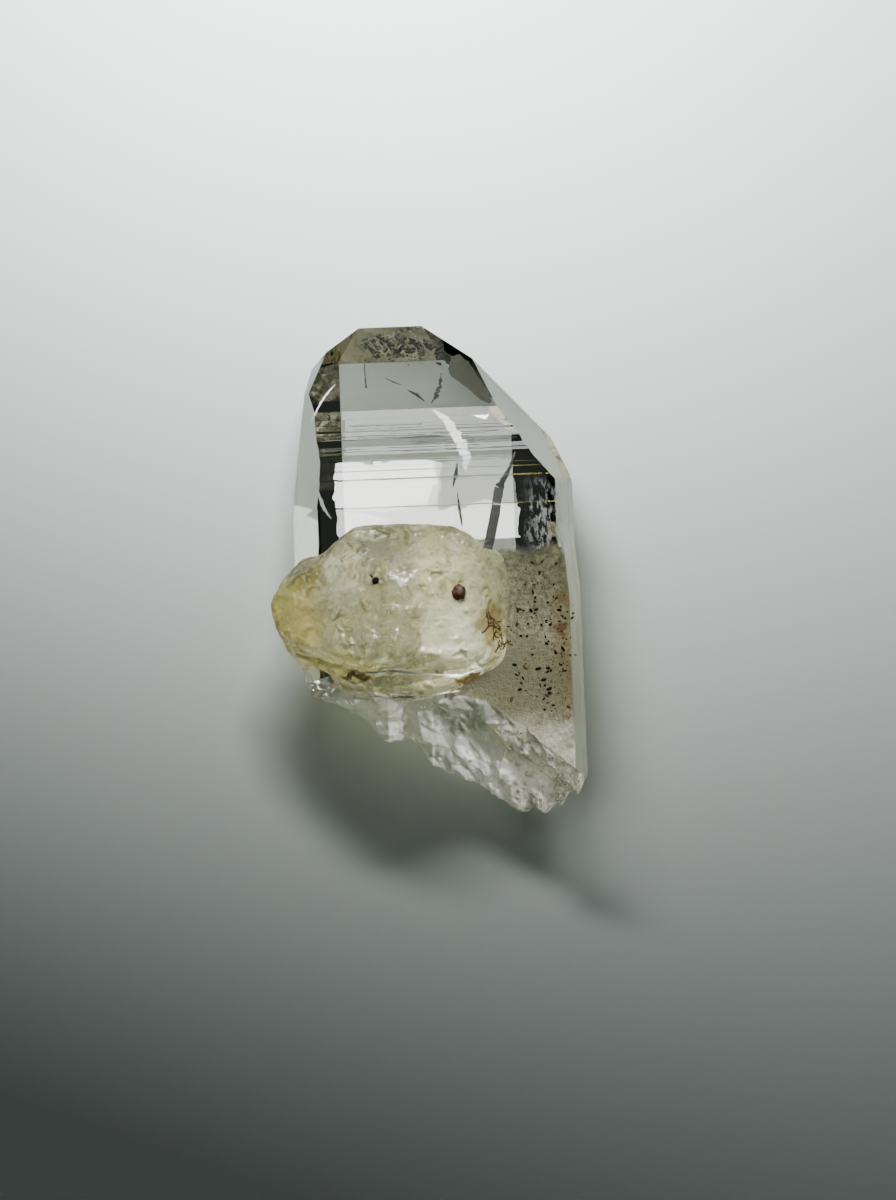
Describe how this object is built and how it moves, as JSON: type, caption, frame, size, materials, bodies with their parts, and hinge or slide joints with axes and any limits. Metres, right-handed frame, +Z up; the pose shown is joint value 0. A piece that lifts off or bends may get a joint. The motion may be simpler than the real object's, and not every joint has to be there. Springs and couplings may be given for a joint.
{
  "type": "quartz point",
  "caption": "clear quartz crystal point, broken off below, with a smaller yellowish frosted quartz crystal grown across its front",
  "frame": {"origin": "on the surface that the stone rests on, under the middle of its outline", "axes": "+Y runs along the big crystal towards its point, +X to the right, +Z up through the small crystal"},
  "size_m": [0.0214, 0.034, 0.013],
  "materials": {
    "quartz": "clear and glossy on the crystal faces, frosted and yellowish on the small crystal and the broken end"
  },
  "bodies": {
    "root": {"quartz_point": "quartz"}
  },
  "joints": []
}
